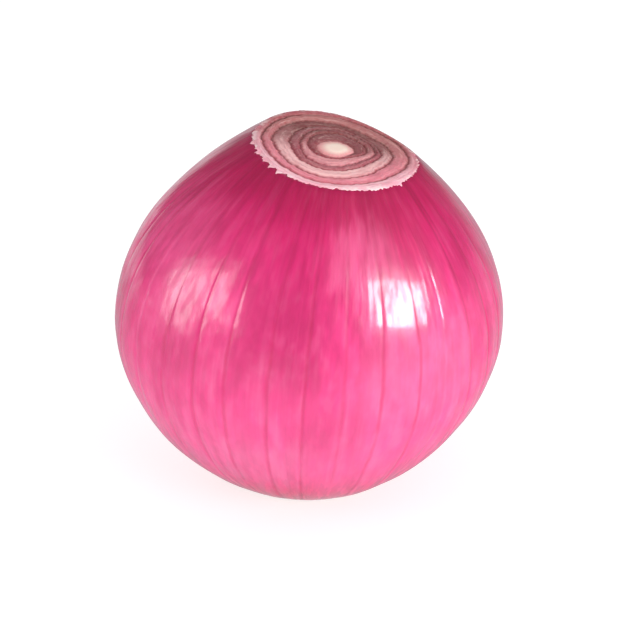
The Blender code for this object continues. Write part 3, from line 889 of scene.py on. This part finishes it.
def root_finish(name, pale, dark):
    """Dry corky tissue: tan, darker in blotches, with fine fibres."""
    material, tree, shader = new_finish(name)
    spot = tree.node("ShaderNodeTexCoord", take=3)
    blot = tree.noise(spot, CORK_BLOTS, 3.0, 0.6)
    fibre = tree.noise(spot, CORK_FIBRES, 3.0, 0.6)
    colour = blot.ease(0.35, 0.68).mix(pale, dark)
    colour = (fibre.ease(0.35, 0.7) * 0.3).mix(colour, ROOT_FIBRE_TONE)
    height = blot + fibre * 0.5
    bump = tree.node("ShaderNodeBump", {}, {"Strength": 0.8, "Distance": CORK_BUMP, "Height": height})
    feed(shader, {"Base Color": colour, "Roughness": 0.75 + (fibre - 0.5) * 0.2, "Normal": bump})
    return material


plate.data.materials.append(root_finish("root_plate_cork", *PLATE_TONES))
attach(plate, "root")
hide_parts("bulb")


# Roots
# The thin dry roots were trimmed to short stubs. They grow out of the edge of the root plate and lie
# outwards under the tucked edge of the skin, clear of what the onion stands on.
ROOT_COUNT = 19
ROOT_RADIUS = 0.37 * MM
ROOT_TIP_RADIUS = 0.24 * MM
ROOT_START_RADIUS = 6.0 * MM
ROOT_START_HEIGHT = 1.00 * MM
ROOT_END_HEIGHT = 0.72 * MM
ROOT_LENGTH = 4.0 * MM
ROOT_LENGTH_SPREAD = 0.36
ROOT_WANDER = 0.42
FINE_ROOT_COUNT = 84
FINE_ROOT_SHARE = 0.50
ROOT_BEND = 0.50 * MM
ROOT_SINK = 0.25 * MM
ROOT_KNOTS = 0.12
ROOT_END_BULGE = 0.12 * MM
ROOT_LEVELS = 7
ROOT_SIDES = 10
DRY_ROOT_TONES = (paint(214, 196, 164), paint(138, 106, 78))


def tube_bundle(name, paths, radii, ends):
    """Mesh of many short tubes: a ring of points round each point of each path, and a cap at each end.

    paths is tubes by levels by three, radii is tubes by levels, and ends is how far the caps bulge.
    """
    count, levels = radii.shape
    ahead = np.gradient(paths, axis=1)
    ahead /= np.linalg.norm(ahead, axis=-1, keepdims=True)
    side = np.cross(ahead, [0.0, 0.0, 1.0])
    side /= np.linalg.norm(side, axis=-1, keepdims=True)
    over = np.cross(ahead, side)
    turn = np.arange(ROOT_SIDES) * 2.0 * math.pi / ROOT_SIDES
    ring = np.cos(turn)[:, None] * side[:, :, None] + np.sin(turn)[:, None] * over[:, :, None]
    points = paths[:, :, None] + radii[:, :, None, None] * ring
    tips = np.stack([paths[:, 0] - ends * ahead[:, 0], paths[:, -1] + ends * ahead[:, -1]], 1)
    block = np.concatenate([points.reshape(count, -1, 3), tips], 1)
    size = levels * ROOT_SIDES
    level, column = np.meshgrid(np.arange(levels - 1), np.arange(ROOT_SIDES), indexing="ij")
    after = (column + 1) % ROOT_SIDES
    quads = np.stack([level * ROOT_SIDES + column, (level + 1) * ROOT_SIDES + column,
                      (level + 1) * ROOT_SIDES + after, level * ROOT_SIDES + after], -1).reshape(-1, 4)
    around = np.arange(ROOT_SIDES)
    following = (around + 1) % ROOT_SIDES
    low = np.stack([around, following, np.full(ROOT_SIDES, size)], -1)
    last = size - ROOT_SIDES
    high = np.stack([last + following, last + around, np.full(ROOT_SIDES, size + 1)], -1)
    start = (np.arange(count) * (size + 2))[:, None, None]
    faces = (quads + start).reshape(-1, 4).tolist() + (low + start).reshape(-1, 3).tolist()
    faces = faces + (high + start).reshape(-1, 3).tolist()
    mesh = bpy.data.meshes.new(name)
    mesh.from_pydata(block.reshape(-1, 3), [], faces)
    mesh.validate()
    mesh.shade_smooth()
    piece = bpy.data.objects.new(name, mesh)
    bpy.context.scene.collection.objects.link(piece)
    return piece


def root_paths(count, size, seed):
    """Paths and radii of roots at even turns with a wander: out from the plate, a little down and curled."""
    chance = np.random.default_rng(seed)
    wander, spread = (chance.uniform(-1.0, 1.0, (count, 2)) * (ROOT_WANDER, ROOT_LENGTH_SPREAD)).T
    angle = (2.0 * math.pi * (np.arange(count) + wander) / count)[:, None]
    share = np.linspace(0.0, 1.0, ROOT_LEVELS)
    reach_out = ROOT_START_RADIUS + ROOT_LENGTH * (1.0 + spread[:, None]) * share * (0.6 + 0.4 * size)
    curl = ROOT_BEND * chance.uniform(-1.0, 1.0, (count, 1)) * np.sin(share * 4.0)
    drop = ROOT_START_HEIGHT + (ROOT_END_HEIGHT - ROOT_START_HEIGHT) * share
    sink = chance.uniform(0.0, 1.0, (count, 1)) * ROOT_SINK * (1.0 - size)
    x = reach_out * np.cos(angle) - curl * np.sin(angle)
    y = reach_out * np.sin(angle) + curl * np.cos(angle)
    radii = size * (ROOT_RADIUS + (ROOT_TIP_RADIUS - ROOT_RADIUS) * share)
    knots = 1.0 + ROOT_KNOTS * np.sin(share * 9.0 + angle * 5.0)
    return np.stack([x, y, drop + sink], -1), radii * knots


thick_paths, thick_radii = root_paths(ROOT_COUNT, 1.0, SEED + 1)
fine_paths, fine_radii = root_paths(FINE_ROOT_COUNT, FINE_ROOT_SHARE, SEED + 3)
roots = tube_bundle("trimmed_roots", np.concatenate([thick_paths, fine_paths]),
                    np.concatenate([thick_radii, fine_radii]), ROOT_END_BULGE)
roots.data.materials.append(root_finish("dry_root", *DRY_ROOT_TONES))
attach(roots, "root")
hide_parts("bulb")


# Floor
# A plain pale floor just under the root plate, lit evenly. It can be seen through from below. The
# onion's wet skin shows it dimmer than it is, darkest under the onion and brightest at the back left.
FLOOR_SIZE = 6.0
FLOOR_GAP = 0.1 * MM
FLOOR_TONE = (0.45, 0.45, 0.45, 1.0)
WHITE = (1.0, 1.0, 1.0, 1.0)
FLOOR_GLOW = 0.70
FLOOR_REFLECTED = 0.36
FLOOR_REFLECTED_BEHIND = 0.78
FLOOR_REFLECTED_UNDER = 0.20
BEHIND_SPAN = (50.0 * MM, 240.0 * MM)
LEFT_SPAN = (-150.0 * MM, 40.0 * MM)
UNDER_SPAN = (22.0 * MM, 46.0 * MM)

half = 0.5 * FLOOR_SIZE
floor_mesh = bpy.data.meshes.new("floor")
floor_mesh.from_pydata([(-half, -half, -FLOOR_GAP), (half, -half, -FLOOR_GAP),
                        (half, half, -FLOOR_GAP), (-half, half, -FLOOR_GAP)], [], [(0, 1, 2, 3)])
floor = bpy.data.objects.new("floor", floor_mesh)
bpy.context.scene.collection.objects.link(floor)
floor_material, floor_tree, floor_shader = new_finish("pale_floor")
feed(floor_shader, {"Base Color": FLOOR_TONE, "Roughness": 0.9, "Specular IOR Level": 0.1,
                    "Emission Color": WHITE, "Emission Strength": FLOOR_GLOW})


def white_glow(tree, kind, strength):
    """White light of one strength, from a surface or from the room."""
    return tree.node(kind, {}, {"Color": WHITE, "Strength": strength})


def shader_mix(mask, first, second):
    """Mix of two shaders: the first where the mask is nought, the second where it is one."""
    return mask.node("ShaderNodeMixShader", {}, {0: mask, 1: first, 2: second})


floor_spot = floor_tree.node("ShaderNodeTexCoord", take=3)
floor_x = floor_spot.part(0)
floor_y = floor_spot.part(1)
back_left = floor_y.ease(*BEHIND_SPAN) * (1.0 - floor_x.ease(*LEFT_SPAN))
clear_of_onion = (floor_x * floor_x + floor_y * floor_y).ease(UNDER_SPAN[0] ** 2, UNDER_SPAN[1] ** 2)
in_open, in_back, in_shade = [white_glow(floor_tree, "ShaderNodeEmission", strength) for strength in
                              (FLOOR_REFLECTED, FLOOR_REFLECTED_BEHIND, FLOOR_REFLECTED_UNDER)]
reflected = shader_mix(clear_of_onion, in_shade, shader_mix(back_left, in_open, in_back))
in_gloss = floor_tree.node("ShaderNodeLightPath", take=3)
from_below = floor_tree.node("ShaderNodeNewGeometry", take=6)
see_through = floor_tree.node("ShaderNodeBsdfTransparent")
seen = shader_mix(in_gloss, Shade(floor_tree.tree, floor_shader.outputs[0]), reflected)
seen = shader_mix(from_below, seen, see_through)
floor_output = floor_material.node_tree.nodes["Material Output"]
floor_material.node_tree.links.new(seen.output, floor_output.inputs["Surface"])
floor.data.materials.append(floor_material)


# Light
# Softboxes at the right and left, a weak one above, and a white room that is dimmer in reflections.
# At each side one lamp only lights, and two only show in gloss: a highlight and its fainter border.
RIGHT_AIM = (0.811, -0.449, 0.375)
RIGHT_LIGHT_AIM = (0.719, -0.645, 0.259)
RIGHT_SIZE = (0.40, 0.22)
RIGHT_POWER = 3.5
RIGHT_SHINE = 4.2
RIGHT_HALO_SIZE = (0.47, 0.34)
RIGHT_HALO = 0.60
RIGHT_ROLL = -20.0
LEFT_AIM = (-0.909, -0.296, 0.292)
LEFT_SIZE = (0.42, 0.27)
LEFT_POWER = 1.6
LEFT_SHINE = 0.90
LEFT_HALO_SIZE = (0.50, 0.42)
LEFT_HALO = 1.0
LEFT_ROLL = 25.0
TOP_AIM = (0.10, -0.20, 0.97)
TOP_SIZE = (0.50, 0.50)
TOP_POWER = 0.75
LAMP_DISTANCE = 0.70
SHINE_DISTANCE = 0.60
HALO_DISTANCE = 0.62
LAMP_CENTRE = (0.0, 0.0, 0.045)
ROOM_LIGHT = 0.57
ROOM_REFLECTED = 0.08
ROOM_SEEN = 1.0


def softbox(name, aim, size, power, distance, shows, roll=0.0):
    """A rectangular lamp at a distance along its aim from the onion, and facing it.

    It only shows in gloss, or else it only lights. The roll turns it about its own axis, in degrees.
    """
    lamp = bpy.data.lights.new(name, "AREA")
    lamp.shape = "RECTANGLE"
    lamp.size, lamp.size_y = size
    lamp.energy = power
    item = bpy.data.objects.new(name, lamp)
    outward = np.array(aim) / np.linalg.norm(aim)
    item.location = np.array(LAMP_CENTRE) + distance * outward
    flat = math.hypot(outward[0], outward[1])
    facing = Matrix.Rotation(math.atan2(outward[0], -outward[1]), 3, "Z")
    facing = facing @ Matrix.Rotation(math.atan2(flat, outward[2]), 3, "X")
    item.rotation_euler = (facing @ Matrix.Rotation(math.radians(roll), 3, "Z")).to_euler()
    item.visible_glossy = shows
    item.visible_diffuse = not shows
    bpy.context.scene.collection.objects.link(item)


softbox("right_light", RIGHT_LIGHT_AIM, RIGHT_SIZE, RIGHT_POWER, LAMP_DISTANCE, False)
softbox("right_shine", RIGHT_AIM, RIGHT_SIZE, RIGHT_SHINE, SHINE_DISTANCE, True, RIGHT_ROLL)
softbox("left_light", LEFT_AIM, LEFT_SIZE, LEFT_POWER, LAMP_DISTANCE, False)
softbox("left_shine", LEFT_AIM, LEFT_SIZE, LEFT_SHINE, SHINE_DISTANCE, True, LEFT_ROLL)
softbox("right_halo", RIGHT_AIM, RIGHT_HALO_SIZE, RIGHT_HALO, HALO_DISTANCE, True, RIGHT_ROLL)
softbox("left_halo", LEFT_AIM, LEFT_HALO_SIZE, LEFT_HALO, HALO_DISTANCE, True, LEFT_ROLL)
softbox("top_light", TOP_AIM, TOP_SIZE, TOP_POWER, LAMP_DISTANCE, False)

room = bpy.data.worlds.new("white_room")
room.use_nodes = True
bpy.context.scene.world = room
room_tree = Shade(room.node_tree)
room_lights, room_reflected, room_seen = [white_glow(room_tree, "ShaderNodeBackground", strength)
                                          for strength in (ROOM_LIGHT, ROOM_REFLECTED, ROOM_SEEN)]
by_camera = room_tree.node("ShaderNodeLightPath")
in_gloss = room_tree.node("ShaderNodeLightPath", take=3)
room_mix = shader_mix(by_camera, shader_mix(in_gloss, room_lights, room_reflected), room_seen)
room.node_tree.links.new(room_mix.output, room.node_tree.nodes["World Output"].inputs["Surface"])
bpy.context.scene.view_settings.view_transform = "Standard"
